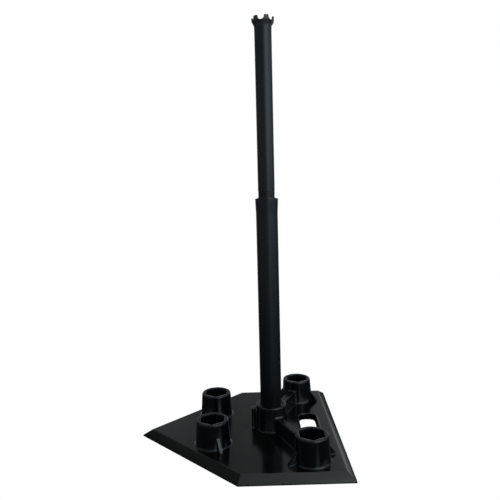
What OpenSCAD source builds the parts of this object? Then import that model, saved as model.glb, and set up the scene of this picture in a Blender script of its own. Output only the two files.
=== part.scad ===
// Telescoping batting tee on a home-plate base with five post sockets.
// Millimetres. +Z is up. The origin is the middle of the base's outline, on the ground.
// +X points to the plate's straight front edge, -X to its point.

/* [Base] */
// Width of the plate's top face, and its length from the front edge to the point
plate_w = 432; // [380:2:480]
// Thickness of the plate
plate_h = 17; // [14:0.1:20]
// How far the sloping edge stands out past the top face
bevel_w = 17.7; // [10:0.1:20]
// Height of the upright lip below the sloping edge
lip_h = 2.6; // [1:0.1:5]
// Depth of the hollow under the plate
recess_h = 5.2; // [3:0.1:7]
// Width of the solid rim around that hollow, along the ground
rim_w = 34; // [26:1:50]
// Thickness of the ribs in the hollow
rib_w = 6; // [4:0.5:9]
// Spacing of the ribs
rib_pitch = 58; // [50:1:60]

/* [Hand slot] */
// Width of the carrying slot
slot_w = 43; // [36:1:50]
// Length of the carrying slot
slot_l = 118; // [90:2:140]
// Radius of the slot's corners
slot_r = 17; // [6:1:18]
// Distance from the plate's front edge to the middle of the slot
slot_inset = 51.3; // [44:0.1:60]
// Width and height of the bead around the slot
bead_w = 5; // [3:0.5:7]
bead_h = 2; // [1:0.5:3]

/* [Sockets] */
// Height of a socket above the plate
socket_h = 57.3; // [45:0.1:65]
// Outer radius at the rim and just above the foot
rim_r = 36.3; // [33:0.1:37]
foot_r = 40.3; // [38:0.1:42]
// Across flats of the six-sided hole
hex_af = 52.4; // [48:0.1:55]
// Distance from the plate's front edge to the front sockets and to the hub
front_inset = 65; // [60:0.1:70]
hub_inset = 143; // [130:1:150]
// Distance from the plate's front edge to the back sockets
back_inset = 280.3; // [270:0.1:290]
// Half the spacing of the front sockets and of the back sockets
front_y = 165.8; // [160:0.1:170]
back_y = 79.7; // [70:0.1:84]

/* [Webs and gussets] */
// Height of a web above the plate
web_h = 33.5; // [26:0.1:50]
// Width of a web at the plate and where its rounded top edges start
web_foot_w = 20.6; // [18:0.2:24]
web_top_w = 17; // [12:0.2:18]
// Radius of a web's top edges
web_edge_r = 3; // [1:0.5:6]
// How far the hub's back rib reaches from the hub's axis, and its height above the plate
back_rib_reach = 48; // [46:0.5:55]
back_rib_h = 48; // [36:0.5:54]
// Thickness, reach from the socket's axis, and height of a gusset
gusset_w = 7; // [5:0.5:10]
gusset_reach = 59; // [52:0.5:62]
gusset_h = 28; // [20:1:34]
// Turn of the back sockets' gussets from square to the line to the hub
gusset_lean = 9; // [0:0.5:15]

/* [Lower tube] */
// Outer radius of the lower tube and of its flared collar at the top
lower_r = 25.4; // [24.8:0.1:25.8]
collar_r = 26.6; // [26:0.1:28]
// Radius of the lower tube's bore
bore_r = 21; // [20.5:0.1:22]
// Height above the ground of the collar's top
collar_top = 569; // [500:0.2:620]
// Height of the collar
collar_h = 40; // [30:1:50]
// Gap around the post's foot in a socket, on each flat
foot_gap = 0.4; // [0.3:0.1:0.8]
// Height of the foot's round spigot inside the lower tube
spigot_h = 26; // [20:1:30]

/* [Upper tube] */
// Outer radius and bore of the upper tube
upper_r = 19.5; // [19:0.1:19.8]
upper_bore_r = 15.5; // [14:0.1:15.8]
// Height above the ground of the upper tube's top end
upper_top = 952; // [900:1:990]
// Length of upper tube that stays inside the lower tube
engaged = 100; // [80:1:110]
// Running clearance on the radius between parts that slide or turn
fit = 0.05; // [0.02:0.01:0.09]
// Height of the split ring near the upper tube's lower end
ring_h = 23.4; // [16:0.2:26]
// Gap in the split ring
ring_gap = 3; // [2:0.5:5]

/* [Crown] */
// Height above the ground of the crown's tips
crown_top = 971.5; // [960:0.5:1020]
// Outer radius of the crown
crown_r = 25.4; // [24:0.1:28]
// Number of petals and the turn of the first one about the tube
petals = 6; // [4:1:8]
petal_turn = -73; // [-180:1:180]
// Depth of the notch between two petals, and its radius
notch_h = 10; // [7:0.5:11]
notch_r = 7.9; // [5:0.1:9]

/* [Hidden] */
$fn = 96;

half = plate_w / 2;
ext = 1;
// The outline stands out more at the point than at the front edge, so its middle is off the square's
mid_x = bevel_w * (sqrt(2) - 1) / 2;
front_x = half + mid_x;
hub = [front_x - hub_inset, 0];
front_right = [front_x - front_inset, -front_y];
front_left = [front_x - front_inset, front_y];
back_right = [front_x - back_inset, -back_y];
back_left = [front_x - back_inset, back_y];
slot_x = front_x - slot_inset;

// Socket outline: a fillet at the foot and a bevel at the rim
fillet = 3.6;
rim_bevel = 2.2;
// Webs start inside the sockets' walls and are cut back to them
web_root_r = 28;

// Upper tube's groove for the split ring
upper_bottom = collar_top - engaged;
land_h = 10;
groove_r = 17.6;
end_play = 0.3;
groove_z = upper_bottom + land_h;
groove_h = ring_h + 2 * end_play;

// Friction sleeve inside the collar
sleeve_h = 38.6;
sleeve_lip_h = 1.4;
foot_floor_gap = 0.3;
post_z = plate_h + socket_h - 0.5;

// Crown: its wall, and the spigot that plugs it into the upper tube, with an open middle
crown_wall = 3;
crown_spigot_h = 30;
crown_bore_r = upper_bore_r - 5;

// Angle in plan from one point to another
function bearing(from, to) = atan2(to[1] - from[1], to[0] - from[0]);

// Home plate outline grown by t beyond the top face
function plate_points(t) = [
    [mid_x - half - t * sqrt(2), 0],
    [mid_x - t * tan(22.5), -half - t],
    [front_x + t, -half - t],
    [front_x + t, half + t],
    [mid_x - t * tan(22.5), half + t]
];

module rounded_box(w, l, r) {
    square([w - 2 * r, l], center = true);
    square([w, l - 2 * r], center = true);
    for (x = [-1, 1], y = [-1, 1])
        translate([x * (w / 2 - r), y * (l / 2 - r)]) circle(r);
}

// Wedge that cuts the sloping edge on the side facing turn, whose top edge is dist away
module edge_cut(turn, dist) {
    slope = atan2(plate_h - lip_h, bevel_w);
    translate([mid_x, 0, 0])
    rotate([0, 0, turn])
    translate([dist + bevel_w, 0, lip_h])
    rotate([0, -90 + slope, 0])
    translate([0, -plate_w, 0])
    cube([plate_h * 3, plate_w * 2, plate_h * 3]);
}

module plate_body() {
    difference() {
        linear_extrude(plate_h) polygon(plate_points(bevel_w));
        for (turn = [0, 90, -90]) edge_cut(turn, half);
        for (turn = [135, -135]) edge_cut(turn, half / sqrt(2));
    }
}

module home_plate() {
    color([0.10, 0.10, 0.11])
    difference() {
        plate_body();
        translate([0, 0, -ext])
        linear_extrude(recess_h + ext) polygon(plate_points(bevel_w - rim_w));
        translate([slot_x, 0, -ext])
        linear_extrude(plate_h + 2 * ext) rounded_box(slot_w, slot_l, slot_r);
    }
}

module underside_ribs() {
    span = plate_w * 2;
    color([0.10, 0.10, 0.11])
    linear_extrude(recess_h)
    difference() {
        intersection() {
            polygon(plate_points(bevel_w - rim_w));
            union() {
                for (i = [-4 : 2])
                    translate([hub[0] + i * rib_pitch, 0]) square([rib_w, span], center = true);
                for (i = [-3 : 3])
                    translate([0, i * rib_pitch]) square([span, rib_w], center = true);
            }
        }
        translate([slot_x - slot_w / 2 - rib_w, -slot_l / 2 - rib_w])
            square([slot_w * 2, slot_l + 2 * rib_w]);
    }
}

module slot_bead() {
    color([0.10, 0.10, 0.11])
    translate([slot_x, 0, plate_h])
    linear_extrude(bead_h)
    difference() {
        rounded_box(slot_w + 2 * bead_w, slot_l + 2 * bead_w, slot_r + bead_w);
        rounded_box(slot_w, slot_l, slot_r);
    }
}

// Solid outline of a socket, which the webs and gussets are cut back to
module socket_outline(at) {
    translate([at[0], at[1], plate_h])
    rotate_extrude()
    polygon([
        [0, 0],
        [foot_r + fillet, 0],
        [foot_r + fillet * 0.3, fillet * 0.4],
        [foot_r - 0.2, fillet],
        [rim_r, socket_h - rim_bevel],
        [rim_r - rim_bevel, socket_h],
        [0, socket_h]
    ]);
}

module socket(at) {
    color([0.09, 0.10, 0.12])
    difference() {
        socket_outline(at);
        translate([at[0], at[1], plate_h - ext])
        rotate([0, 0, 30])
        cylinder(h = socket_h + 2 * ext, r = hex_af / sqrt(3), $fn = 6);
    }
}

module hub_socket() {
    socket(hub);
}

module front_right_socket() {
    socket(front_right);
}

module front_left_socket() {
    socket(front_left);
}

module back_right_socket() {
    socket(back_right);
}

module back_left_socket() {
    socket(back_left);
}

// Wall of height h with rounded top edges, which leaves the hub along a bearing
module web_wall(turn, from_r, to_r, h) {
    half_top = web_top_w / 2;
    translate([hub[0], hub[1], plate_h])
    rotate([0, 0, turn])
    translate([from_r, 0, 0])
    rotate([90, 0, 90])
    linear_extrude(to_r - from_r) {
        for (side = [-1, 1])
            translate([side * (half_top - web_edge_r), h - web_edge_r]) circle(web_edge_r);
        polygon([
            [-web_foot_w / 2, 0],
            [web_foot_w / 2, 0],
            [half_top, h - web_edge_r],
            [half_top - web_edge_r, h],
            [web_edge_r - half_top, h],
            [-half_top, h - web_edge_r]
        ]);
    }
}

module web(to) {
    color([0.09, 0.10, 0.12])
    difference() {
        web_wall(bearing(hub, to), web_root_r, norm(to - hub) - web_root_r, web_h);
        socket_outline(hub);
        socket_outline(to);
    }
}

module right_web() {
    web(front_right);
}

module left_web() {
    web(front_left);
}

module hub_back_rib() {
    color([0.09, 0.10, 0.12])
    difference() {
        web_wall(180, web_root_r, back_rib_reach, back_rib_h);
        socket_outline(hub);
    }
}

// A pair of gussets on a socket, leaning from square to the line from the socket to the hub
module gussets(at, lean) {
    color([0.09, 0.10, 0.12])
    for (side = [-90, 90])
        difference() {
            translate([at[0], at[1], plate_h])
            rotate([90, 0, bearing(at, hub) + side + lean])
            translate([0, 0, -gusset_w / 2])
            linear_extrude(gusset_w)
            polygon([[0, 0], [gusset_reach, 0], [gusset_reach, 2], [foot_r - 3, gusset_h], [0, gusset_h]]);
            socket_outline(at);
        }
}

module front_right_gussets() {
    gussets(front_right, 0);
}

module front_left_gussets() {
    gussets(front_left, 0);
}

module back_right_gussets() {
    gussets(back_right, -gusset_lean);
}

module back_left_gussets() {
    gussets(back_left, gusset_lean);
}

module post_foot() {
    color([0.07, 0.07, 0.08])
    translate([hub[0], hub[1], 0]) {
        translate([0, 0, plate_h + foot_floor_gap])
        rotate([0, 0, 30])
        cylinder(h = post_z - plate_h - foot_floor_gap, r = (hex_af - 2 * foot_gap) / sqrt(3), $fn = 6);
        translate([0, 0, post_z - ext])
        cylinder(h = spigot_h + ext, r = bore_r);
    }
}

module lower_tube() {
    color([0.08, 0.09, 0.12])
    translate([hub[0], hub[1], post_z])
    difference() {
        cylinder(h = collar_top - collar_h - post_z, r = lower_r);
        translate([0, 0, -ext])
        cylinder(h = collar_top, r = bore_r);
    }
}

module tube_collar() {
    color([0.08, 0.09, 0.12])
    translate([hub[0], hub[1], collar_top - collar_h])
    difference() {
        union() {
            cylinder(h = collar_h - 1, r1 = lower_r, r2 = collar_r);
            translate([0, 0, collar_h - 1]) cylinder(h = 1, r1 = collar_r, r2 = collar_r - 0.8);
        }
        translate([0, 0, -ext])
        cylinder(h = collar_h + 2 * ext, r = bore_r);
    }
}

module friction_sleeve() {
    color([0.13, 0.13, 0.14])
    translate([hub[0], hub[1], collar_top - sleeve_h])
    difference() {
        union() {
            cylinder(h = sleeve_h, r = bore_r);
            translate([0, 0, sleeve_h]) cylinder(h = sleeve_lip_h, r1 = bore_r + 0.6, r2 = bore_r);
        }
        translate([0, 0, -ext])
        cylinder(h = sleeve_h + sleeve_lip_h + 2 * ext, r = upper_r + fit);
    }
}

module split_ring() {
    color([0.75, 0.75, 0.72])
    translate([hub[0], hub[1], groove_z + end_play])
    difference() {
        cylinder(h = ring_h, r = bore_r - fit);
        translate([0, 0, -ext])
        cylinder(h = ring_h + 2 * ext, r = groove_r + fit);
        translate([0, -ring_gap / 2, -ext])
        cube([bore_r * 2, ring_gap, ring_h + 2 * ext]);
    }
}

module upper_tube() {
    color([0.09, 0.10, 0.13])
    translate([hub[0], hub[1], upper_bottom])
    difference() {
        cylinder(h = upper_top - upper_bottom, r = upper_r);
        translate([0, 0, -ext])
        cylinder(h = upper_top - upper_bottom + 2 * ext, r = upper_bore_r);
        translate([0, 0, land_h])
        difference() {
            cylinder(h = groove_h, r = upper_r + ext);
            translate([0, 0, -ext]) cylinder(h = groove_h + 2 * ext, r = groove_r);
        }
    }
}

module ball_crown() {
    tip = crown_top - upper_top;
    color([0.08, 0.09, 0.11])
    translate([hub[0], hub[1], upper_top])
    difference() {
        rotate_extrude()
        polygon([
            [crown_bore_r, -crown_spigot_h],
            [upper_bore_r - 1, -crown_spigot_h],
            [upper_bore_r, 1 - crown_spigot_h],
            [upper_bore_r, 0],
            [upper_r, 0],
            [upper_r + 0.3, 1.2],
            [upper_r + 2.4, 4.6],
            [crown_r - 1.3, 8.2],
            [crown_r - 0.3, 11],
            [crown_r, tip],
            [crown_r - crown_wall, tip],
            [crown_r - crown_wall - 0.3, 12],
            [upper_r + 0.9, 8.4],
            [upper_bore_r - 2, 4.2],
            [crown_bore_r, 3.6]
        ]);
        for (i = [0 : petals - 1])
            rotate([0, 0, petal_turn + (i + 0.5) * 360 / petals])
            translate([crown_bore_r, 0, tip - notch_h + notch_r])
            rotate([90, 0, 90])
            linear_extrude(crown_r) {
                circle(notch_r);
                translate([-notch_r, 0]) square([2 * notch_r, notch_h]);
            }
    }
}

home_plate();
underside_ribs();
slot_bead();
hub_socket();
front_right_socket();
front_left_socket();
back_right_socket();
back_left_socket();
right_web();
left_web();
hub_back_rib();
front_right_gussets();
front_left_gussets();
back_right_gussets();
back_left_gussets();
post_foot();
lower_tube();
tube_collar();
friction_sleeve();
split_ring();
upper_tube();
ball_crown();
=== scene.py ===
"""A telescoping batting tee on a home-plate base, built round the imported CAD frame.

Metres, +Z up, +X towards the plate's straight front edge.
"""

from functools import reduce
import math

import bmesh
import bpy
from mathutils import Matrix, Vector


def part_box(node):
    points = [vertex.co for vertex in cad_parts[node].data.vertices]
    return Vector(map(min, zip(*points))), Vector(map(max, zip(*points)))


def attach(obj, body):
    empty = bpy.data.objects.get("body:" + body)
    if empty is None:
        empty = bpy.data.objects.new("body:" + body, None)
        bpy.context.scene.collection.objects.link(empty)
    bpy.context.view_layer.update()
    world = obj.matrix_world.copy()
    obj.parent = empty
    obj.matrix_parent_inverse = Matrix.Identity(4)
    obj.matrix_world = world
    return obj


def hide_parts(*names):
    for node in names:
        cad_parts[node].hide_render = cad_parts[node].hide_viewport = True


MM = 0.001
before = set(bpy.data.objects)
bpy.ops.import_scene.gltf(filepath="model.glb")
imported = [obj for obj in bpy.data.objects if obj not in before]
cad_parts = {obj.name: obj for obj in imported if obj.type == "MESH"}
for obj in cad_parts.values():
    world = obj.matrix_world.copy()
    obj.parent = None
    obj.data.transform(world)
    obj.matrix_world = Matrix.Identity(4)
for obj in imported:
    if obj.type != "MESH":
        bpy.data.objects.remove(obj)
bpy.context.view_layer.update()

# ---------------------------------------------------------------- places from the frame

BASE_BODY = "base"
POST_BODY = "post"
RING_BODY = "height_ring"
TOP_BODY = "top"


def axis_of(node_name):
    """Middle of a node's box, in plan."""
    low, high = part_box(node_name)
    return Vector(((low.x + high.x) / 2, (low.y + high.y) / 2))


def radius_of(node_name):
    """Half the width of a node's box."""
    low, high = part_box(node_name)
    return (high.x - low.x) / 2


PLATE_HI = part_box("home_plate")[1]
PLATE_TOP = PLATE_HI.z
RECESS_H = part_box("underside_ribs")[1].z
HUB = axis_of("hub_socket")
OUTER_SOCKETS = ["front_right", "front_left", "back_right", "back_left"]
SOCKET_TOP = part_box("hub_socket")[1].z
COLLAR_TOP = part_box("tube_collar")[1].z


# ---------------------------------------------------------------- mesh tools

# A corner that turns by less than this many radians stays as it is
STRAIGHT = 1e-3
# Vertices closer than this are joined
WELD = 1e-7


def rounded(corners, steps):
    """An open outline through (a, b, radius) corners, with steps edges round each inner one."""
    spots = [Vector((a, b)) for a, b, _ in corners]
    out = [spots[0]]
    for i in range(1, len(corners) - 1):
        corner = spots[i]
        radius = corners[i][2]
        back = (spots[i - 1] - corner).normalized()
        ahead = (spots[i + 1] - corner).normalized()
        turn = math.acos(max(-1, min(1, back.dot(ahead))))
        if radius <= 0 or turn > math.pi - STRAIGHT:
            out.append(corner)
            continue
        reach = radius / math.tan(turn / 2)
        centre = corner + (back + ahead).normalized() * (radius / math.sin(turn / 2))
        first = corner + back * reach - centre
        last = corner + ahead * reach - centre
        sweep = first.angle_signed(last)
        for k in range(steps + 1):
            out.append(centre + Matrix.Rotation(-sweep * k / steps, 2) @ first)
    out.append(spots[-1])
    return out


def loft(bm, rings, closed_along=False):
    """Quads between closed rings of equal length. Returns the rings as lists of vertices."""
    made = [[bm.verts.new(p) for p in ring] for ring in rings]
    pairs = list(zip(made, made[1:]))
    if closed_along:
        pairs.append((made[-1], made[0]))
    for low, high in pairs:
        for i in range(len(low)):
            j = (i + 1) % len(low)
            bm.faces.new((low[i], low[j], high[j], high[i]))
    return made


def capped_loft(bm, rings):
    """A loft whose two ends are closed by a face each."""
    made = loft(bm, rings)
    bm.faces.new(made[0])
    bm.faces.new(made[-1])


def loop_edges(bm, ring):
    """The edges that run round a lofted ring of vertices."""
    return [bm.edges.get(pair) for pair in zip(ring, ring[1:] + ring[:1])]


def add_piece(name, bm, material, body, replaced, sharp_deg):
    """Turns a bmesh into a piece that rides on a body and stands for CAD nodes."""
    bmesh.ops.remove_doubles(bm, verts=bm.verts, dist=WELD)
    bmesh.ops.recalc_face_normals(bm, faces=bm.faces)
    mesh = bpy.data.meshes.new(name)
    bm.to_mesh(mesh)
    bm.free()
    for polygon in mesh.polygons:
        polygon.use_smooth = True
    mesh.set_sharp_from_angle(angle=math.radians(sharp_deg))
    piece = bpy.data.objects.new(name, mesh)
    bpy.context.scene.collection.objects.link(piece)
    mesh.materials.append(material)
    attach(piece, body)
    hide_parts(*replaced)


def circle_ring(at, radius, z, count):
    """A level ring of points. radius is a number or a function of the angle."""
    points = []
    for i in range(count):
        angle = 2 * math.pi * i / count
        r = radius(angle) if callable(radius) else radius
        points.append((at.x + r * math.cos(angle), at.y + r * math.sin(angle), z))
    return points


def lathe(at, profile, count):
    """Rings of a turned shape from (radius, z) pairs."""
    return [circle_ring(at, r, z, count) for r, z in profile]


def hexagon(across_flats, corner_r, grow=0.0):
    """Radius by angle of a hexagon with flats facing +X and -X and rounded corners."""
    half_side = math.radians(30)
    apothem = across_flats / 2 + grow
    centre = (apothem - corner_r) / math.cos(half_side)
    reach = math.atan2(corner_r * math.sin(half_side), centre + corner_r * math.cos(half_side))

    def radius(angle):
        off = (angle + half_side) % (2 * half_side) - half_side
        to_corner = half_side - abs(off)
        if to_corner < reach:
            side = centre * math.sin(to_corner)
            return centre * math.cos(to_corner) + math.sqrt(corner_r**2 - side**2)
        return apothem / math.cos(off)

    return radius


# ---------------------------------------------------------------- material nodes


def node(tree, kind, inputs=None, **settings):
    """Adds a node. inputs gives a value or another node's output by socket name or number."""
    made = tree.nodes.new(kind)
    for key, value in settings.items():
        setattr(made, key, value)
    for key, value in (inputs or {}).items():
        if isinstance(value, bpy.types.NodeSocket):
            tree.links.new(value, made.inputs[key])
        else:
            made.inputs[key].default_value = value
    return made


def calc(tree, operation, *values, use_clamp=False):
    """Result of a Math node on values, which are numbers or outputs."""
    made = node(
        tree, "ShaderNodeMath", dict(enumerate(values)), operation=operation, use_clamp=use_clamp
    )
    return made.outputs[0]


def chain(tree, operation, values):
    """Result of a sum or a product of all the values."""
    return reduce(lambda so_far, value: calc(tree, operation, so_far, value), values)


def ramp(tree, source, low, high, at=(0.0, 1.0), kind="LINEAR"):
    """Maps a value from the range at to the range low..high."""
    start, end = at
    sockets = {"Value": source, "From Min": start, "From Max": end, "To Min": low, "To Max": high}
    return node(tree, "ShaderNodeMapRange", sockets, interpolation_type=kind).outputs["Result"]


# ---------------------------------------------------------------- materials

# Scale, detail and roughness of the noises
SMUDGES = (9, 5, 0.6)
CLOUDS = (38, 4, 0.55)
PEBBLES = (260, 2, 0.5)
FINE_GRAIN = (900, 3, 0.6)
# Parts of a noise's range that are stretched to a full one
NARROW = (0.35, 0.65)
MIDDLING = (0.35, 0.7)
WIDE = (0.3, 0.7)
# How far rubbed edges reach, and the cosines of the normal's turn at a full edge and at none
EDGE_W = 1.6 * MM
EDGE_SAMPLES = 6
EDGE_TURN = (0.86, 0.995)
# Least and most that the clouds let an edge be rubbed
RUB_LOW = 0.15
RUB_HIGH = 1.6
# How much the smudges lighten, and the least that the clouds leave of them
SMUDGE_TONE = 0.55
CLOUD_TONE = 0.4
# How much the fine grain changes the roughness, and how high the bumps are
GLOSS_JITTER = 0.04
PEBBLE_SHARE = 1.6
BUMP_H = 0.10 * MM
# Tint of the reflections on the walls and tubes: a painted bluish colour of reflected light, not the
# rubber's own
PAINTED_BLUE_REFLECTION = (0.74, 0.89, 1.0)
# Stretches a tube's smudges along Z
DRAWN = (1, 1, 0.12)


def rubber(name, base, pale, roughness, gloss, grain, streak=(1, 1, 1), wear=0.5, tint=(1, 1, 1)):
    """Moulded rubber or plastic: fine grain, cloudy smudges, rubbed edges and uneven gloss."""
    material = bpy.data.materials.new(name)
    material.use_nodes = True
    tree = material.node_tree
    tree.nodes.clear()
    place = node(tree, "ShaderNodeTexCoord").outputs["Object"]
    stretched = node(tree, "ShaderNodeMapping", {"Vector": place, "Scale": streak}).outputs["Vector"]

    def noise(vector, look):
        """Values of a noise with one of the looks above."""
        scale, detail, rough = look
        sockets = {"Vector": vector, "Scale": scale, "Detail": detail, "Roughness": rough}
        return node(tree, "ShaderNodeTexNoise", sockets).outputs["Fac"]

    smudge = noise(stretched, SMUDGES)
    cloud = noise(stretched, CLOUDS)
    fine = noise(place, FINE_GRAIN)
    pebble = noise(place, PEBBLES)

    softened = node(tree, "ShaderNodeBevel", {"Radius": EDGE_W}, samples=EDGE_SAMPLES)
    normal = node(tree, "ShaderNodeNewGeometry").outputs["Normal"]
    sockets = {0: softened.outputs["Normal"], 1: normal}
    aligned = node(tree, "ShaderNodeVectorMath", sockets, operation="DOT_PRODUCT").outputs["Value"]
    edge = ramp(tree, aligned, 1, 0, EDGE_TURN)
    rubbed = calc(tree, "MULTIPLY", edge, ramp(tree, cloud, RUB_LOW * wear, RUB_HIGH * wear, NARROW))

    smudged = ramp(tree, smudge, 0, SMUDGE_TONE, MIDDLING)
    clouded = ramp(tree, cloud, CLOUD_TONE, 1, WIDE)
    tone = calc(tree, "MULTIPLY_ADD", smudged, clouded, rubbed, use_clamp=True)
    sockets = {"Factor": tone, "A": (*base, 1), "B": (*pale, 1)}
    colour = node(tree, "ShaderNodeMix", sockets, data_type="RGBA").outputs["Result"]

    cloudy_gloss = ramp(tree, smudge, *roughness, NARROW)
    fine_gloss = ramp(tree, fine, -GLOSS_JITTER, GLOSS_JITTER, WIDE)
    uneven = calc(tree, "ADD", cloudy_gloss, fine_gloss, use_clamp=True)

    height = calc(tree, "MULTIPLY_ADD", pebble, PEBBLE_SHARE, fine)
    sockets = {"Strength": grain, "Distance": BUMP_H, "Height": height}
    bump = node(tree, "ShaderNodeBump", sockets).outputs["Normal"]

    shader = node(tree, "ShaderNodeBsdfPrincipled", {
        "Base Color": colour,
        "Roughness": uneven,
        "Normal": bump,
        "Specular IOR Level": gloss,
        # A tint other than white paints a colour of reflected light into the rubber's reflections
        "Specular Tint": (*tint, 1),
    })
    node(tree, "ShaderNodeOutputMaterial", {"Surface": shader.outputs["BSDF"]})
    return material


BASE_RUBBER = rubber(
    "base_rubber",
    base=(0.0010, 0.0011, 0.0012), pale=(0.0050, 0.0050, 0.0052),
    roughness=(0.12, 0.19), gloss=0.50, grain=0.08,
)
WALL_RUBBER = rubber(
    "wall_rubber",
    base=(0.0003, 0.0010, 0.0020), pale=(0.0025, 0.0036, 0.0052),
    roughness=(0.18, 0.26), gloss=0.52, grain=0.12, tint=PAINTED_BLUE_REFLECTION,
)
TUBE_RUBBER = rubber(
    "tube_rubber",
    base=(0.0008, 0.0024, 0.0048), pale=(0.0040, 0.0062, 0.0096),
    roughness=(0.29, 0.40), gloss=0.54, grain=0.18, streak=DRAWN, wear=0.35, tint=PAINTED_BLUE_REFLECTION,
)
CROWN_RUBBER = rubber(
    "crown_rubber",
    base=(0.040, 0.044, 0.060), pale=(0.070, 0.074, 0.088),
    roughness=(0.36, 0.48), gloss=0.50, grain=0.20,
)
FOOT_PLASTIC = rubber(
    "foot_plastic",
    base=(0.0025, 0.0028, 0.0035), pale=(0.010, 0.010, 0.011),
    roughness=(0.25, 0.38), gloss=0.50, grain=0.12,
)
SLEEVE_PLASTIC = rubber(
    "sleeve_plastic",
    base=(0.010, 0.011, 0.012), pale=(0.030, 0.030, 0.032),
    roughness=(0.30, 0.45), gloss=0.50, grain=0.12,
)
NYLON = rubber(
    "nylon",
    base=(0.55, 0.55, 0.51), pale=(0.68, 0.67, 0.63),
    roughness=(0.35, 0.50), gloss=0.50, grain=0.10,
)


# ---------------------------------------------------------------- base plate

# Sloping edge, the upright lip under it, and the solid rim round the hollow underside
BEVEL_W = 17.7 * MM
LIP_H = 2.6 * MM
RIM_W = 34 * MM
RECESS_DRAFT = 1.2 * MM
PLATE_CORNER_R = 1.6 * MM
RECESS_EDGE_R = 0.8 * MM
GROUND_EDGE_R = 0.6 * MM
LIP_EDGE_R = 0.5 * MM
TOP_EDGE_R = 5 * MM
# Where the flat fills of the top face and of the hollow's ceiling begin
TOP_FILL_INSET = 9 * MM
RECESS_FILL_INSET = 2 * MM

HALF = PLATE_HI.y - BEVEL_W
# The outline stands out more at the point than at the front edge, so its middle is off the square's
MID_X = BEVEL_W * (math.sqrt(2) - 1) / 2
# Each side of the top face: its bearing, and its distance from the middle of the square
SIDES = [(0, HALF), (90, HALF), (135, HALF / math.sqrt(2)), (225, HALF / math.sqrt(2)), (270, HALF)]

BEAD_LO, BEAD_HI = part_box("slot_bead")
BEAD_W = 5 * MM
SLOT_R = 17 * MM
SLOT_W = BEAD_HI.x - BEAD_LO.x - 2 * BEAD_W
SLOT_L = BEAD_HI.y - BEAD_LO.y - 2 * BEAD_W
SLOT_X = (BEAD_LO.x + BEAD_HI.x) / 2
SLOT_DRAFT = 2.0 * MM
SLOT_EDGE_R = 0.4 * MM
SLOT_FILL_W = 0.5 * MM
# Skirt that stands down round the slot in the hollow
SKIRT_Z = 3.6 * MM
SKIRT_W = 1.5 * MM
SKIRT_ROOT_W = 2.5 * MM
SKIRT_FILL_W = 4 * MM
SKIRT_EDGE_R = 0.8 * MM
SKIRT_ROOT_R = 0.5 * MM

# Small round dimple on the hub's -X side: its place, and the radius at each depth
DIMPLE_AT = Vector((HUB.x - 58 * MM, -1.5 * MM))
DIMPLE = [(2.6 * MM, 0), (2.1 * MM, 0.6 * MM), (1.7 * MM, 3 * MM)]
DIMPLE_SIDES = 24


def plate_ring(grow, z, steps=6):
    """Home-plate outline, grow beyond the top face, with rounded corners."""
    points = []
    for (turn_a, dist_a), (turn_b, dist_b) in zip(SIDES, SIDES[1:] + [(360, HALF)]):
        a, b = math.radians(turn_a), math.radians(turn_b)
        across = math.sin(b - a)
        da, db = dist_a + grow - PLATE_CORNER_R, dist_b + grow - PLATE_CORNER_R
        centre = Vector((
            (da * math.sin(b) - db * math.sin(a)) / across,
            (db * math.cos(a) - da * math.cos(b)) / across,
        ))
        for k in range(steps + 1):
            angle = a + (b - a) * k / steps
            points.append((
                MID_X + centre.x + PLATE_CORNER_R * math.cos(angle),
                centre.y + PLATE_CORNER_R * math.sin(angle),
                z,
            ))
    return points


def slot_ring(grow, z, steps=8):
    """Rounded outline of the hand slot, grown by grow."""
    r = SLOT_R + grow
    points = []
    for quarter in range(4):
        sx = 1 if quarter in (0, 3) else -1
        sy = 1 if quarter in (0, 1) else -1
        centre = Vector((SLOT_X + sx * (SLOT_W / 2 - SLOT_R), sy * (SLOT_L / 2 - SLOT_R)))
        for k in range(steps + 1):
            angle = math.radians(90 * quarter + 90 * k / steps)
            points.append((centre.x + r * math.cos(angle), centre.y + r * math.sin(angle), z))
    return points


def build_plate():
    """Slab with a sloping edge, an upright lip, a hollow underside, the hand slot and the dimple."""
    bm = bmesh.new()
    edge = rounded(
        [
            (BEVEL_W - RIM_W - RECESS_FILL_INSET, RECESS_H, 0),
            (BEVEL_W - RIM_W, RECESS_H, RECESS_EDGE_R),
            (BEVEL_W - RIM_W + RECESS_DRAFT, 0, GROUND_EDGE_R),
            (BEVEL_W, 0, GROUND_EDGE_R),
            (BEVEL_W, LIP_H, LIP_EDGE_R),
            (0, PLATE_TOP, TOP_EDGE_R),
            (-TOP_FILL_INSET, PLATE_TOP, 0),
        ],
        steps=5,
    )
    outline = loft(bm, [plate_ring(grow, z) for grow, z in edge])
    wall = rounded(
        [
            (SLOT_FILL_W, PLATE_TOP, 0),
            (0, PLATE_TOP, SLOT_EDGE_R),
            (-SLOT_DRAFT, SKIRT_Z, SKIRT_EDGE_R),
            (SKIRT_W, SKIRT_Z, SKIRT_EDGE_R),
            (SKIRT_ROOT_W, RECESS_H, SKIRT_ROOT_R),
            (SKIRT_FILL_W, RECESS_H, 0),
        ],
        steps=4,
    )
    slot = loft(bm, [slot_ring(grow, z) for grow, z in wall])
    dimple = loft(bm, lathe(DIMPLE_AT, [(r, PLATE_TOP - down) for r, down in DIMPLE], DIMPLE_SIDES))
    bm.faces.new(dimple[-1])
    top_loops = [outline[-1], slot[0], dimple[0]]
    under_loops = [outline[0], slot[-1]]
    for loops in (top_loops, under_loops):
        edges = [edge for ring in loops for edge in loop_edges(bm, ring)]
        bmesh.ops.triangle_fill(bm, use_beauty=True, use_dissolve=False, edges=edges)
    add_piece("plate", bm, BASE_RUBBER, BASE_BODY, ["home_plate"], sharp_deg=30)


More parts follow.
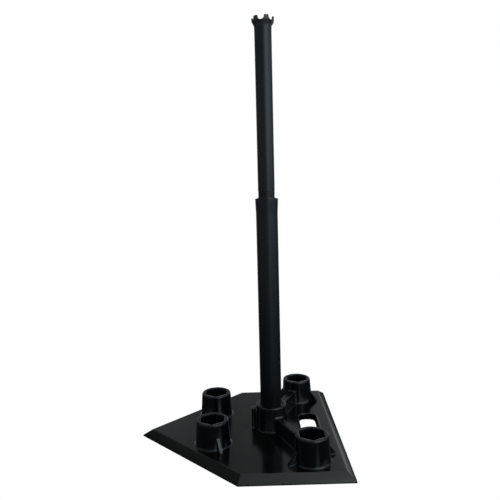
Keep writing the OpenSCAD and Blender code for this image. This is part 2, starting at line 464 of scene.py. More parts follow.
def build_bead():
    """Raised bead round the hand slot. Its inner side stands just inside the slot's wall."""
    crest = BEAD_HI.z
    toe = PLATE_TOP + 0.1 * MM
    outer_foot = PLATE_TOP - 0.5 * MM
    inner_foot = PLATE_TOP - 2.0 * MM
    knee = PLATE_TOP + 0.6 * MM
    slope_w = 2.2 * MM
    inner_w = 1.0 * MM
    lap = 0.1 * MM
    outer_r = 1.6 * MM
    inner_r = 1.4 * MM
    knee_r = 0.8 * MM
    tight_r = 0.1 * MM
    section = rounded(
        [
            (BEAD_W, outer_foot, 0),
            (BEAD_W, toe, tight_r),
            (BEAD_W - slope_w, crest, outer_r),
            (inner_w, crest, inner_r),
            (-lap, knee, knee_r),
            (-lap, inner_foot, tight_r),
            (inner_w, inner_foot, 0),
        ],
        steps=5,
    )
    bm = bmesh.new()
    loft(bm, [slot_ring(grow, z, steps=10) for grow, z in section], closed_along=True)
    add_piece(
        "hand_slot_bead", bm, BASE_RUBBER, BASE_BODY, ["slot_bead"], sharp_deg=40
    )


# ---------------------------------------------------------------- sockets

# Outer radius just above the foot and at the rim
FOOT_R = 40.3 * MM
RIM_R = 36.3 * MM
HEX_AF = 52.4 * MM
HEX_CORNER_R = 1.6 * MM
SOCKET_FILLET = 4.2 * MM
SOCKET_TOE_H = 0.05 * MM
# The corner that the foot's fillet rounds: in from the wall's foot, and above the plate
SOCKET_CORNER_IN = 0.1 * MM
SOCKET_CORNER_H = 0.35 * MM
SOCKET_RIM_R = 3.4 * MM
SOCKET_LAND_W = 5.2 * MM
# Bevel at the hole's mouth, and the share of it at which its corner is
MOUTH_W = 1.1 * MM
MOUTH_ROUND = 0.3
HOLE_DRAFT = 0.3 * MM
# How far the pieces that stand on the plate reach into it
SINK = 0.4 * MM
SOCKET_SIDES = 192


def wall_radius(up):
    """A socket wall's radius at a height above the plate."""
    return FOOT_R + (RIM_R - FOOT_R) * up / (SOCKET_TOP - PLATE_TOP)


def build_socket(name, at, replaced):
    """Round tapered socket with a filleted foot, a soft rim and a six-sided hole."""
    outer = rounded(
        [
            (FOOT_R + SOCKET_FILLET, PLATE_TOP - SINK, 0),
            (FOOT_R + SOCKET_FILLET, PLATE_TOP + SOCKET_TOE_H, 0),
            (FOOT_R - SOCKET_CORNER_IN, PLATE_TOP + SOCKET_CORNER_H, SOCKET_FILLET),
            (RIM_R, SOCKET_TOP, SOCKET_RIM_R),
            (HEX_AF / 2 + SOCKET_LAND_W, SOCKET_TOP, 0),
        ],
        steps=8,
    )
    rings = lathe(at, outer, SOCKET_SIDES)
    for grow, z in [
        (MOUTH_W, SOCKET_TOP),
        (MOUTH_W * MOUTH_ROUND, SOCKET_TOP - MOUTH_ROUND * MOUTH_W),
        (0, SOCKET_TOP - MOUTH_W),
        (-HOLE_DRAFT / 2, (PLATE_TOP + SOCKET_TOP) / 2),
        (-HOLE_DRAFT, PLATE_TOP - SINK),
    ]:
        rings.append(circle_ring(at, hexagon(HEX_AF, HEX_CORNER_R, grow), z, SOCKET_SIDES))
    bm = bmesh.new()
    loft(bm, rings, closed_along=True)
    add_piece(name, bm, WALL_RUBBER, BASE_BODY, replaced, sharp_deg=38)


# ---------------------------------------------------------------- webs, back rib and gussets

# Heights are above the plate. A web is WEB_TOP and WEB_FOOT wide to each side of its middle line.
WEB_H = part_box("right_web")[1].z - PLATE_TOP
WEB_TOP = 17 / 2 * MM
WEB_FOOT = 20.6 / 2 * MM
WEB_EDGE_R = 3 * MM
WEB_FILLET = 4 * MM
WEB_RISE = 3 * MM
WEB_FLARE = 3.2 * MM
# Where webs and the back rib start, inside the wall of the socket
RIB_ROOT = 31 * MM

BACK_RIB_REACH = HUB.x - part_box("hub_back_rib")[0].x
BACK_RIB_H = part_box("hub_back_rib")[1].z - PLATE_TOP
BACK_RIB_END_R = 2.5 * MM
BACK_RIB_FILLET = 5 * MM
BACK_RIB_FLARE = 2.2 * MM

GUSSET_ROOT = 34 * MM
GUSSET_REACH = 59 * MM
GUSSET_H = 28 * MM
GUSSET_HALF = 3.5 * MM
GUSSET_EDGE_R = 0.6 * MM
GUSSET_FILLET = 1 * MM
GUSSET_FLARE = 1.6 * MM
# Distance from the socket's axis at which a gusset starts to slope down to its tip
GUSSET_FULL_AT = FOOT_R - 3 * MM
# Tip: its height, rounding in plan, drop as a share of that rounding, and its least sizes
GUSSET_TIP_H = 2 * MM
GUSSET_TIP_R = 3 * MM
GUSSET_TIP_DROP = 0.4
GUSSET_LEAST_HALF = 0.4 * MM
GUSSET_LEAST_H = 0.5 * MM
# The back sockets' gussets are off square to the line to the hub by this much
GUSSET_LEAN = {"back_right": math.radians(-9), "back_left": math.radians(9)}

# Share of its height at which each kind of rib is filleted to the socket's wall
WEB_MEETS_AT = 0.8
BACK_RIB_MEETS_AT = 0.6
GUSSET_MEETS_AT = 0.5
# Most that a rounded edge may take of a rib's half width and height, and a flare of its height
ROUND_OF_HALF = 0.98
ROUND_OF_HEIGHT = 0.8
FLARE_OF_HEIGHT = 0.5
FLARE_STEPS = 5
EDGE_STEPS = 8


def rib_section(height, top_half, foot_half, flare, edge_r):
    """Section of a rib as (across, up) pairs, with rounded top edges and a flared foot."""
    round_r = min(edge_r, top_half * ROUND_OF_HALF, height * ROUND_OF_HEIGHT)
    flare = min(flare, height * FLARE_OF_HEIGHT)
    flat = top_half - round_r
    left = [(-foot_half - flare, -SINK)]
    for k in range(FLARE_STEPS + 1):
        angle = math.radians(-90 + 90 * k / FLARE_STEPS)
        left.append((
            -foot_half - flare + flare * math.cos(angle),
            flare + flare * math.sin(angle),
        ))
    for k in range(EDGE_STEPS + 1):
        angle = math.radians(180 - 90 * k / EDGE_STEPS)
        left.append((
            -flat + round_r * math.cos(angle),
            height - round_r + round_r * math.sin(angle),
        ))
    return left + [(-across, up) for across, up in reversed(left)]


def build_rib(bm, at, turn, stations, edge_r):
    """Adds a rib along a bearing. stations are (distance, height, top half, foot half, flare)."""
    along = Vector((math.cos(turn), math.sin(turn)))
    side = Vector((-along.y, along.x))
    rings = []
    for distance, height, top_half, foot_half, flare in stations:
        ring = []
        for across, up in rib_section(height, top_half, foot_half, flare, edge_r):
            spot = at + along * distance + side * across
            ring.append((spot.x, spot.y, PLATE_TOP + up))
        rings.append(ring)
    capped_loft(bm, rings)


def spread(gap, fillet):
    """How much a rib widens at a distance gap from the wall that it meets."""
    if gap <= 0:
        return fillet
    if gap >= fillet:
        return 0.0
    return fillet - math.sqrt(fillet**2 - (fillet - gap) ** 2)


def end_round(distance, reach, end_r):
    """How much a rib with a rounded end is cut back at a distance along it."""
    past = max(0, distance - (reach - end_r))
    return end_r - math.sqrt(max(0, end_r**2 - past**2))


def build_web(name, to, replaced, count=60):
    """Flat-topped web from the hub to a front socket, filleted at both."""
    line = to - HUB
    length = line.length
    stations = []
    for i in range(count + 1):
        eased = 0.5 - 0.5 * math.cos(math.pi * i / count)
        distance = RIB_ROOT + (length - 2 * RIB_ROOT) * eased
        gap = min(distance, length - distance) - wall_radius(WEB_H * WEB_MEETS_AT)
        more = spread(gap, WEB_FILLET)
        height = WEB_H + spread(gap, WEB_RISE)
        stations.append((distance, height, WEB_TOP + more, WEB_FOOT + more, WEB_FLARE))
    bm = bmesh.new()
    build_rib(bm, HUB, math.atan2(line.y, line.x), stations, WEB_EDGE_R)
    add_piece(name, bm, WALL_RUBBER, BASE_BODY, replaced, sharp_deg=50)


def build_back_rib(count=40):
    """Short upright rib on the hub's back, with a blunt rounded end."""
    stations = []
    for i in range(count + 1):
        distance = RIB_ROOT + (BACK_RIB_REACH - RIB_ROOT) * math.sin(math.pi / 2 * i / count)
        more = spread(distance - wall_radius(BACK_RIB_H * BACK_RIB_MEETS_AT), BACK_RIB_FILLET)
        less = end_round(distance, BACK_RIB_REACH, BACK_RIB_END_R)
        half_top, half_foot = WEB_TOP + more - less, WEB_FOOT + more - less
        stations.append((distance, BACK_RIB_H - less, half_top, half_foot, BACK_RIB_FLARE))
    bm = bmesh.new()
    build_rib(bm, HUB, math.pi, stations, WEB_EDGE_R)
    add_piece(
        "hub_rear_rib", bm, WALL_RUBBER, BASE_BODY, ["hub_back_rib"], sharp_deg=50
    )


def build_gussets(name, at, lean, replaced, count=44):
    """Two sloping gussets, leaning from square to the line from a socket to the hub."""
    bm = bmesh.new()
    to_hub = math.atan2(HUB.y - at.y, HUB.x - at.x)
    for side in (-1, 1):
        stations = []
        for i in range(count + 1):
            distance = GUSSET_ROOT + (GUSSET_REACH - GUSSET_ROOT) * math.sin(math.pi / 2 * i / count)
            slope = max(0, distance - GUSSET_FULL_AT) / (GUSSET_REACH - GUSSET_FULL_AT)
            height = GUSSET_H + (GUSSET_TIP_H - GUSSET_H) * slope
            more = spread(distance - wall_radius(height * GUSSET_MEETS_AT), GUSSET_FILLET)
            less = end_round(distance, GUSSET_REACH, GUSSET_TIP_R)
            half = max(GUSSET_LEAST_HALF, GUSSET_HALF - less) + more
            height = max(GUSSET_LEAST_H, height - less * GUSSET_TIP_DROP)
            stations.append((distance, height, half, half, GUSSET_FLARE))
        build_rib(bm, at, to_hub + side * math.pi / 2 + lean, stations, GUSSET_EDGE_R)
    add_piece(name, bm, WALL_RUBBER, BASE_BODY, replaced, sharp_deg=50)


# ---------------------------------------------------------------- post

TUBE_R = radius_of("lower_tube")
COLLAR_R = radius_of("tube_collar")
UPPER_R = radius_of("upper_tube")
# Bores of the upper and of the lower tube
UPPER_BORE_R = 15.5 * MM
BORE_R = 21 * MM
TUBE_SIDES = 144

FOOT_SIDES = 192
FOOT_CORNER_R = 1.4 * MM
FOOT_FILL_W = 6 * MM
# Lead-in at the foot's lower end, with the share of its width and the height of its corner
FOOT_LEAD = 2.4 * MM
LEAD_CORNER = 0.4
LEAD_CORNER_H = 0.5 * MM
# Softened shoulder under the tube, with its middle point in and down from the edge
FOOT_SHOULDER_R = 0.6 * MM
FOOT_SHOULDER_IN = 0.2 * MM
FOOT_SHOULDER_DOWN = 0.15 * MM
SPIGOT_PLAY = 0.02 * MM
SPIGOT_EDGE_R = 1.5 * MM
SPIGOT_FILL_R = 10 * MM

# Lower tube's lower end: bevel in the bore, and a softened outer edge with its middle point
TUBE_BORE_BEVEL = 0.6 * MM
TUBE_EDGE_W = 0.9 * MM
TUBE_EDGE_H = 1.0 * MM
TUBE_EDGE_IN = 0.25 * MM
TUBE_EDGE_UP = 0.3 * MM
STRAIGHT_STEPS = 8
SWELL_STEPS = 14
# How far below the collar's top its swell ends, and its rounded outer and inner edges start
SWELL_END = 1.4 * MM
COLLAR_EDGE_H = 1.3 * MM
COLLAR_BORE_EDGE_H = 2 * MM
COLLAR_EDGE_R = 1.1 * MM
COLLAR_BORE_EDGE_R = 0.5 * MM

# Gaps between the sleeve and the upper tube, the collar's bore and the collar's top
SLEEVE_PLAY = 0.05 * MM
SLEEVE_GLUE_GAP = 0.03 * MM
SLEEVE_LIP_GAP = 0.05 * MM
# Lip on the collar's top: how far its lower and upper edge stand out past the bore
SLEEVE_LIP_W = 0.5 * MM
SLEEVE_LIP_TOP_W = 0.3 * MM
SLEEVE_LIP_FOOT_R = 0.1 * MM
SLEEVE_LIP_R = 0.5 * MM
# Bevels at the ends of the sleeve's bore
SLEEVE_MOUTH_W = 0.1 * MM
SLEEVE_MOUTH_H = 1.2 * MM
SLEEVE_MOUTH_R = 0.4 * MM
SLEEVE_FOOT_W = 0.4 * MM
SLEEVE_FOOT_H = 0.5 * MM

RING_INNER_R = 17.65 * MM
RING_OUTER_R = BORE_R - 0.05 * MM
RING_GAP = 3 * MM
RING_INNER_EDGE_R = 0.4 * MM
RING_OUTER_EDGE_R = 0.6 * MM
# Height of the point on the inner side where the ring's section starts and ends
RING_SEAM_H = 2 * MM
RING_STEPS = 120

# Upper tube's lower end: bevels of its outer edge and of its bore
UPPER_BEVEL = 0.8 * MM
UPPER_BORE_BEVEL = 0.5 * MM
GROOVE_R = 17.6 * MM
GROOVE_PLAY = 0.3 * MM
# Faint rings above the collar: how many, the first one's height over it, and their spacing
MARKS = 4
MARK_FIRST = 4.6 * MM
MARK_PITCH = 3.5 * MM
# A ring's section: distance from its middle, and depth
MARK_SECTION = [
    (-1.1 * MM, 0.15 * MM), (-0.6 * MM, 0.7 * MM), (0.6 * MM, 0.7 * MM), (1.1 * MM, 0.15 * MM),
]
MARKS_END = 25 * MM
# The upper tube swells a little over this height under the crown, in steps at these shares
NECK_H = 14 * MM
NECK_SWELL = 0.35 * MM
NECK_STEPS = (0.3, 0.6, 0.8, 1.0)
NECK_STRAIGHT_STEPS = 6


def add_turned(name, profile, material, body, replaced):
    """A piece turned about the post's axis from a closed (radius, z) profile."""
    bm = bmesh.new()
    loft(bm, lathe(HUB, profile, TUBE_SIDES), closed_along=True)
    add_piece(name, bm, material, body, replaced, sharp_deg=40)


def build_foot():
    """Six-sided foot with a lead-in at its lower end, and its round spigot."""
    low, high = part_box("post_foot")
    across = high.x - low.x
    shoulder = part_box("lower_tube")[0].z
    rings = []
    for grow, z in [
        (-FOOT_LEAD - FOOT_FILL_W, low.z),
        (-FOOT_LEAD, low.z),
        (-FOOT_LEAD * LEAD_CORNER, low.z + LEAD_CORNER_H),
        (0, low.z + FOOT_LEAD),
        (0, shoulder - FOOT_SHOULDER_R),
        (-FOOT_SHOULDER_IN, shoulder - FOOT_SHOULDER_DOWN),
        (-FOOT_SHOULDER_R, shoulder),
    ]:
        rings.append(circle_ring(HUB, hexagon(across, FOOT_CORNER_R, grow), z, FOOT_SIDES))
    spigot_r = BORE_R - SPIGOT_PLAY
    spigot = rounded(
        [(spigot_r, shoulder, 0), (spigot_r, high.z, SPIGOT_EDGE_R), (SPIGOT_FILL_R, high.z, 0)],
        steps=5,
    )
    rings += lathe(HUB, spigot, FOOT_SIDES)
    bm = bmesh.new()
    capped_loft(bm, rings)
    add_piece(
        "hex_foot", bm, FOOT_PLASTIC, POST_BODY, ["post_foot"], sharp_deg=40
    )


def build_lower_tube():
    """Lower tube, which swells gently into its collar over the last stretch."""
    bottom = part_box("lower_tube")[0].z
    swell_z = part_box("tube_collar")[0].z
    swell_end = COLLAR_TOP - SWELL_END
    profile = [
        (BORE_R + TUBE_BORE_BEVEL, bottom),
        (TUBE_R - TUBE_EDGE_W, bottom),
        (TUBE_R - TUBE_EDGE_IN, bottom + TUBE_EDGE_UP),
        (TUBE_R, bottom + TUBE_EDGE_H),
    ]
    for k in range(1, STRAIGHT_STEPS):
        profile.append((TUBE_R, bottom + (swell_z - bottom) * k / STRAIGHT_STEPS))
    for k in range(SWELL_STEPS + 1):
        t = k / SWELL_STEPS
        eased = t * t * (3 - 2 * t)
        profile.append((TUBE_R + (COLLAR_R - TUBE_R) * eased, swell_z + (swell_end - swell_z) * t))
    profile += rounded(
        [
            (COLLAR_R, COLLAR_TOP - COLLAR_EDGE_H, 0),
            (COLLAR_R, COLLAR_TOP, COLLAR_EDGE_R),
            (BORE_R, COLLAR_TOP, COLLAR_BORE_EDGE_R),
            (BORE_R, COLLAR_TOP - COLLAR_BORE_EDGE_H, 0),
        ],
        steps=5,
    )[1:]
    profile.append((BORE_R, bottom))
    add_turned(
        "lower_post_tube", profile, TUBE_RUBBER, POST_BODY,
        ["lower_tube", "tube_collar"],
    )


def build_sleeve():
    """Friction sleeve in the collar, with a lip that lies on the collar's top."""
    low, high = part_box("friction_sleeve")
    inner = UPPER_R + SLEEVE_PLAY
    outer = BORE_R - SLEEVE_GLUE_GAP
    lip_z = COLLAR_TOP + SLEEVE_LIP_GAP
    profile = [(inner + SLEEVE_FOOT_W, low.z), (outer, low.z)]
    profile += rounded(
        [
            (outer, lip_z, 0),
            (BORE_R + SLEEVE_LIP_W, lip_z, SLEEVE_LIP_FOOT_R),
            (BORE_R + SLEEVE_LIP_TOP_W, high.z, SLEEVE_LIP_R),
            (inner + SLEEVE_MOUTH_W, high.z, SLEEVE_MOUTH_R),
            (inner, high.z - SLEEVE_MOUTH_H, 0),
        ],
        steps=5,
    )
    profile.append((inner, low.z + SLEEVE_FOOT_H))
    add_turned("sleeve", profile, SLEEVE_PLASTIC, POST_BODY, ["friction_sleeve"])


def build_ring():
    """Split ring: a C-shaped band with softened edges."""
    low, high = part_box("split_ring")
    seam = low.z + RING_SEAM_H
    section = rounded(
        [
            (RING_INNER_R, seam, 0),
            (RING_INNER_R, low.z, RING_INNER_EDGE_R),
            (RING_OUTER_R, low.z, RING_OUTER_EDGE_R),
            (RING_OUTER_R, high.z, RING_OUTER_EDGE_R),
            (RING_INNER_R, high.z, RING_INNER_EDGE_R),
            (RING_INNER_R, seam, 0),
        ],
        steps=4,
    )[:-1]
    half_gap = math.asin(RING_GAP / 2 / RING_OUTER_R)
    rings = []
    for i in range(RING_STEPS + 1):
        angle = half_gap + (2 * math.pi - 2 * half_gap) * i / RING_STEPS
        rings.append([
            (HUB.x + r * math.cos(angle), HUB.y + r * math.sin(angle), z) for r, z in section
        ])
    bm = bmesh.new()
    capped_loft(bm, rings)
    add_piece("friction_ring", bm, NYLON, RING_BODY, ["split_ring"], sharp_deg=40)


def build_upper_tube():
    """Upper tube with its ring groove, faint rings, and a slight swell under the crown."""
    low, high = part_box("upper_tube")
    ring_low, ring_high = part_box("split_ring")
    profile = [
        (UPPER_BORE_R + UPPER_BORE_BEVEL, low.z),
        (UPPER_R - UPPER_BEVEL, low.z),
        (UPPER_R, low.z + UPPER_BEVEL),
        (UPPER_R, ring_low.z - GROOVE_PLAY),
        (GROOVE_R, ring_low.z - GROOVE_PLAY),
        (GROOVE_R, ring_high.z + GROOVE_PLAY),
        (UPPER_R, ring_high.z + GROOVE_PLAY),
    ]
    for k in range(MARKS):
        middle = COLLAR_TOP + MARK_FIRST + MARK_PITCH * k
        profile += [(UPPER_R - depth, middle + off) for off, depth in MARK_SECTION]
    start = COLLAR_TOP + MARKS_END
    straight = high.z - NECK_H - start
    for k in range(NECK_STRAIGHT_STEPS + 1):
        profile.append((UPPER_R, start + straight * k / NECK_STRAIGHT_STEPS))
    profile += [(UPPER_R + NECK_SWELL * t, high.z - NECK_H * (1 - t)) for t in NECK_STEPS]
    profile += [(UPPER_BORE_R, high.z), (UPPER_BORE_R, low.z + UPPER_BORE_BEVEL)]
    add_turned("upper_post_tube", profile, TUBE_RUBBER, TOP_BODY, ["upper_tube"])


# ---------------------------------------------------------------- crown

# Heights are above the upper tube's top end
CROWN_R = 25.5 * MM
CROWN_WALL = 2.8 * MM
CROWN_LIP_R = 0.45 * MM
# Outside: foot and neck, which stand out past the upper tube, and shoulder, in from CROWN_R
CROWN_FOOT_W = 0.2 * MM
CROWN_NECK_W = 0.6 * MM
CROWN_NECK_H = 1.4 * MM
CROWN_NECK_R = 2 * MM
CROWN_SHOULDER_W = 0.7 * MM
CROWN_SHOULDER_H = 10.5 * MM
CROWN_SHOULDER_R = 12 * MM
# Inside: the cup's side, in from CROWN_R, its floor, and the bore through the spigot
CUP_SIDE_W = 4.4 * MM
CUP_SIDE_H = 12 * MM
CUP_SIDE_R = 5 * MM
CUP_FLOOR_R = UPPER_BORE_R - 1 * MM
CUP_FLOOR_H = 4.4 * MM
CUP_FLOOR_ROUND = 2.5 * MM
CUP_HOLE_H = 3.6 * MM
CROWN_BORE_R = UPPER_BORE_R - 5 * MM
CROWN_BORE_H = 1.5 * MM
CROWN_SPIGOT_BEVEL = 1 * MM
# Where the outside and the inside start to follow the petals, and how soon the angles do
BLEND_OUTSIDE_H = 6 * MM
BLEND_INSIDE_H = 8 * MM
BLEND_SPEED = 1.6
CROWN_SPLITS = 6
PETALS = 6
PETAL_PITCH = 2 * math.pi * CROWN_R / PETALS
PETAL_TURN = math.radians(-73)
PETAL_R = 2 * MM
NOTCH_H = 10 * MM
NOTCH_R = 7.9 * MM
# A notch's round bottom stays just short of its middle line
NOTCH_FULL = 0.995


def petal_edge():
    """One petal and notch of the crown's top edge: (distance round the rim, drop from the tip)."""
    half = PETAL_PITCH / 2
    points = rounded(
        [
            (0, 0, 0),
            (half - NOTCH_R, 0, PETAL_R),
            (half - NOTCH_R, -NOTCH_H, NOTCH_R * NOTCH_FULL),
            (half, -NOTCH_H, 0),
        ],
        steps=9,
    )
    mirrored = [Vector((PETAL_PITCH - p.x, p.y)) for p in reversed(points)]
    return [(p.x, p.y) for p in points + mirrored[1:-1]]


def petal_columns():
    """The crown's columns: (even angle, angle of its point on the petal edge, drop of that)."""
    edge = petal_edge()
    total = PETALS * len(edge)
    columns = []
    for petal in range(PETALS):
        for i, (run, drop) in enumerate(edge):
            even = 2 * math.pi * (petal * len(edge) + i) / total
            rim = (petal * PETAL_PITCH + run) / CROWN_R
            columns.append((even + PETAL_TURN, rim + PETAL_TURN, drop))
    return columns


def petal_rings(profile, columns, tip, blend_from):
    """Rings of a profile that turn from even ones at blend_from to the petal edge at the tip."""
    rings = []
    for r, z in profile:
        share = max(0, (z - blend_from) / (tip - blend_from))
        ring = []
        for even, rim, drop in columns:
            angle = even + (rim - even) * min(1, share * BLEND_SPEED)
            ring.append((
                HUB.x + r * math.cos(angle), HUB.y + r * math.sin(angle), z + drop * share
            ))
        rings.append(ring)
    return rings


def between(start, end):
    """Points that split a straight stretch of the crown's profile, so that petals keep shape."""
    (r0, z0), (r1, z1) = start, end
    shares = range(1, CROWN_SPLITS)
    return [
        (r0 + (r1 - r0) * k / CROWN_SPLITS, z0 + (z1 - z0) * k / CROWN_SPLITS) for k in shares
    ]


def build_crown():
    """Flared cup whose rim is cut into rounded petals, with a spigot into the upper tube."""
    low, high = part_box("ball_crown")
    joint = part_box("upper_tube")[1].z
    tip = high.z
    columns = petal_columns()

    outer = rounded(
        [
            (UPPER_R + CROWN_FOOT_W, joint, 0),
            (UPPER_R + CROWN_NECK_W, joint + CROWN_NECK_H, CROWN_NECK_R),
            (CROWN_R - CROWN_SHOULDER_W, joint + CROWN_SHOULDER_H, CROWN_SHOULDER_R),
            (CROWN_R, tip, 0),
        ],
        steps=7,
    )
    inner = rounded(
        [
            (CROWN_R - CROWN_WALL, tip, 0),
            (CROWN_R - CUP_SIDE_W, joint + CUP_SIDE_H, CUP_SIDE_R),
            (CUP_FLOOR_R, joint + CUP_FLOOR_H, CUP_FLOOR_ROUND),
            (CROWN_BORE_R, joint + CUP_HOLE_H, 0),
        ],
        steps=7,
    )
    outer = outer[:-1] + between(outer[-2], outer[-1]) + outer[-1:]
    inner = inner[:1] + between(inner[0], inner[1]) + inner[1:]
    lip = [
        (CROWN_R - CROWN_LIP_R, tip),
        (CROWN_R - CROWN_WALL / 2, tip),
        (CROWN_R - CROWN_WALL + CROWN_LIP_R, tip),
    ]
    rings = petal_rings(outer + lip, columns, tip, joint + BLEND_OUTSIDE_H)
    rings += petal_rings(inner, columns, tip, joint + BLEND_INSIDE_H)

    spigot_r = UPPER_BORE_R - SPIGOT_PLAY
    for r, z in [
        (CROWN_BORE_R, joint + CROWN_BORE_H),
        (CROWN_BORE_R, low.z),
        (UPPER_BORE_R - CROWN_SPIGOT_BEVEL, low.z),
        (spigot_r, low.z + CROWN_SPIGOT_BEVEL),
        (spigot_r, joint),
    ]:
        rings.append([(HUB.x + r * math.cos(a), HUB.y + r * math.sin(a), z) for a, _, _ in columns])
    bm = bmesh.new()
    loft(bm, rings, closed_along=True)
    add_piece(
        "petal_crown", bm, CROWN_RUBBER, TOP_BODY, ["ball_crown"], sharp_deg=45
    )


# ---------------------------------------------------------------- assembly

build_plate()
build_bead()
build_socket("hub_post_socket", HUB, ["hub_socket"])
for place in OUTER_SOCKETS:
    middle = axis_of(place + "_socket")
    build_socket(place + "_post_socket", middle, [place + "_socket"])
    lean = GUSSET_LEAN.get(place, 0)
    build_gussets(place + "_gusset_pair", middle, lean, [place + "_gussets"])
build_web("right_arm", axis_of("front_right_socket"), ["right_web"])
build_web("left_arm", axis_of("front_left_socket"), ["left_web"])
build_back_rib()
build_foot()
build_lower_tube()
build_sleeve()
build_ring()
build_upper_tube()
build_crown()

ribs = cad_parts["underside_ribs"]
ribs.data.materials.clear()
ribs.data.materials.append(BASE_RUBBER)


# ---------------------------------------------------------------- camera

CAMERA_AT = Vector((28.35, -1214.4, 585.0)) * MM
CAMERA_YAW = math.radians(-0.32)
CAMERA_PITCH = math.radians(6.37)
CAMERA_ROLL = math.radians(-1.49)
SENSOR = 36.0
LENS = 37.46


def build_camera():
    """Camera at the photograph's angle, looking ahead and slightly down."""
    data = bpy.data.cameras.new("camera")
    data.sensor_width = SENSOR
    data.lens = LENS
    camera = bpy.data.objects.new("camera", data)
    bpy.context.scene.collection.objects.link(camera)
    ahead = Vector((
        -math.sin(CAMERA_YAW) * math.cos(CAMERA_PITCH),
        math.cos(CAMERA_YAW) * math.cos(CAMERA_PITCH),
        -math.sin(CAMERA_PITCH),
    ))
    level = Vector((math.cos(CAMERA_YAW), math.sin(CAMERA_YAW), 0))
    up = level.cross(ahead)
    right = level * math.cos(CAMERA_ROLL) + up * math.sin(CAMERA_ROLL)
    up = up * math.cos(CAMERA_ROLL) - level * math.sin(CAMERA_ROLL)
    turn = Matrix((right, up, -ahead)).transposed().to_4x4()
    camera.matrix_world = Matrix.Translation(CAMERA_AT) @ turn
    bpy.context.scene.camera = camera


# ---------------------------------------------------------------- studio

WHITE = (1, 1, 1, 1)
STUDIO_TINT = (0.95, 0.98, 1.0, 1)
STUDIO_DIM = 0.015
# Soft panels of the studio as the object reflects them: how bright each is, and the coordinates
# of the direction that it fades along, as (axis, start, end) or (axis, start, end, low, high)
PANELS = {
    "top": (0.65, [("Z", 0.70, 0.97), ("X", -0.25, 0.25, 0.6, 1.35)]),
    "back": (0.15, [("Y", 0.2, 0.8), ("Z", -0.1, 0.12)]),
    "back left": (0.08, [("Y", 0.3, 0.9), ("X", -0.04, -0.16), ("Z", -0.1, 0.12)]),
    "back right": (0.26, [("Y", 0.3, 0.9), ("X", -0.05, 0.3), ("Z", -0.15, 0.1)]),
    "right": (1.25, [
        ("Y", 0.4, 0.0), ("X", -0.10, 0.30), ("Z", -0.34, 0.28), ("Z", 0.44, 0.32),
    ]),
    "front right strip": (0.65, [
        ("X", 0.15, 0.34), ("X", 0.58, 0.4), ("Y", 0.1, -0.3), ("Z", -0.7, 0.1), ("Z", 0.46, 0.33),
    ]),
    "high right": (1.7, [
        ("Y", 0.3, -0.1), ("X", 0.05, 0.35), ("Z", 0.6, 0.75), ("Z", 0.95, 0.85),
    ]),
    "left": (0.18, [("Y", 0.4, 0.0), ("X", 0.15, -0.1), ("Z", -0.12, 0.12), ("Z", 0.42, 0.27)]),
    "low left": (0.20, [
        ("Y", 0.4, 0.0), ("X", 0.25, -0.1), ("Z", -0.38, -0.22), ("Z", 0.42, 0.27),
    ]),
    "all round, high": (0.12, [("Z", 0.48, 0.64), ("Z", 0.98, 0.86)]),
    "low back": (0.40, [("Y", 0.6, 0.95), ("Z", 0.3, 0.05)]),
}

FLOOR_HALF = 1.2
FLOOR_CELLS = 8
FLOOR_Z = -0.5 * MM
FLOOR_GREY = (0.06, 0.06, 0.06, 1)
# Soft strip of light on the floor that only reflections see: the direction across it, its middle
# and half width along that, and where its near end fades out
STRIP_ACROSS = (0.91, 0.41, 0)
STRIP_MIDDLE = 0.067
STRIP_REACH = 0.032
STRIP_FADE = (-0.45, -0.33)
STRIP_GLOW = 0.35

KEY_AT = Vector((1.5, -1.5, 1.45))
KEY_TOWARDS = Vector((0.08, 0, 0.75))
KEY_SIZE = (1.3, 1.2)
KEY_POWER = 5


def build_key_light():
    """Large soft light on the right, in front, which the camera doesn't see."""
    data = bpy.data.lights.new("key", "AREA")
    data.shape = "RECTANGLE"
    data.size, data.size_y = KEY_SIZE
    data.energy = KEY_POWER
    light = bpy.data.objects.new("key", data)
    light.location = KEY_AT
    light.rotation_euler = (KEY_TOWARDS - KEY_AT).to_track_quat("-Z", "Y").to_euler()
    light.visible_camera = False
    bpy.context.scene.collection.objects.link(light)


def camera_or_other(tree, seen, other):
    """Shader that shows seen to the camera and other to every other ray."""
    camera_ray = node(tree, "ShaderNodeLightPath").outputs["Is Camera Ray"]
    return node(tree, "ShaderNodeMixShader", {"Fac": camera_ray, 1: other, 2: seen}).outputs[0]


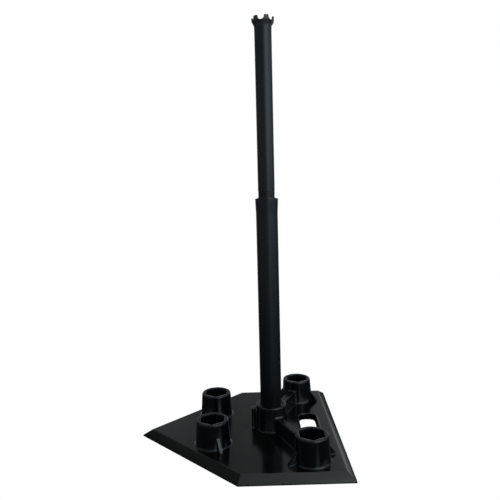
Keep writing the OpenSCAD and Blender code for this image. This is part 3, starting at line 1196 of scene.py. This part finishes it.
def build_world():
    """White for the camera. Other rays see a studio that is bright overhead and to the right."""
    world = bpy.data.worlds.new("studio")
    bpy.context.scene.world = world
    world.use_nodes = True
    tree = world.node_tree
    tree.nodes.clear()
    direction = node(tree, "ShaderNodeTexCoord").outputs["Generated"]
    axes = node(tree, "ShaderNodeSeparateXYZ", {0: direction}).outputs
    panels = []
    for glow, fades in PANELS.values():
        factors = []
        for axis, start, end, *span in fades:
            low, high = span or (0.0, 1.0)
            factors.append(ramp(tree, axes[axis], low, high, (start, end), "SMOOTHSTEP"))
        panels.append(chain(tree, "MULTIPLY", factors + [glow]))
    total = chain(tree, "ADD", panels + [STUDIO_DIM])
    lit = node(tree, "ShaderNodeBackground", {"Color": STUDIO_TINT, "Strength": total})
    seen = node(tree, "ShaderNodeBackground", {"Color": WHITE})
    surface = camera_or_other(tree, seen.outputs[0], lit.outputs[0])
    node(tree, "ShaderNodeOutputWorld", {"Surface": surface})


def floor_paper():
    """White paper for the camera. Other rays see dim paper with a soft strip of light on it."""
    material = bpy.data.materials.new("floor_paper")
    material.use_nodes = True
    tree = material.node_tree
    tree.nodes.clear()
    place = node(tree, "ShaderNodeTexCoord").outputs["Object"]
    axes = node(tree, "ShaderNodeSeparateXYZ", {0: place}).outputs
    sockets = {0: place, 1: STRIP_ACROSS}
    across = node(tree, "ShaderNodeVectorMath", sockets, operation="DOT_PRODUCT").outputs["Value"]
    fades = [
        (across, (STRIP_MIDDLE - STRIP_REACH, STRIP_MIDDLE)),
        (across, (STRIP_MIDDLE + STRIP_REACH, STRIP_MIDDLE)),
        (axes["Y"], STRIP_FADE),
    ]
    factors = [ramp(tree, source, 0, 1, at, "SMOOTHSTEP") for source, at in fades]
    patch = chain(tree, "MULTIPLY", factors + [STRIP_GLOW])
    strip = node(tree, "ShaderNodeEmission", {"Strength": patch}).outputs[0]
    dim = node(tree, "ShaderNodeBsdfDiffuse", {"Color": FLOOR_GREY}).outputs[0]
    both = node(tree, "ShaderNodeAddShader", {0: dim, 1: strip}).outputs[0]
    glow = node(tree, "ShaderNodeEmission", {"Color": WHITE}).outputs[0]
    surface = camera_or_other(tree, glow, both)
    node(tree, "ShaderNodeOutputMaterial", {"Surface": surface})
    return material


def build_floor():
    """Flat floor just under the object."""
    bm = bmesh.new()
    bmesh.ops.create_grid(bm, x_segments=FLOOR_CELLS, y_segments=FLOOR_CELLS, size=FLOOR_HALF)
    mesh = bpy.data.meshes.new("floor")
    bm.to_mesh(mesh)
    bm.free()
    floor = bpy.data.objects.new("floor", mesh)
    floor.location.z = FLOOR_Z
    bpy.context.scene.collection.objects.link(floor)
    mesh.materials.append(floor_paper())


build_camera()
build_world()
build_floor()
build_key_light()

view = bpy.context.scene.view_settings
view.view_transform = "Standard"
view.look = "None"
view.exposure = 0.0
view.gamma = 1.0
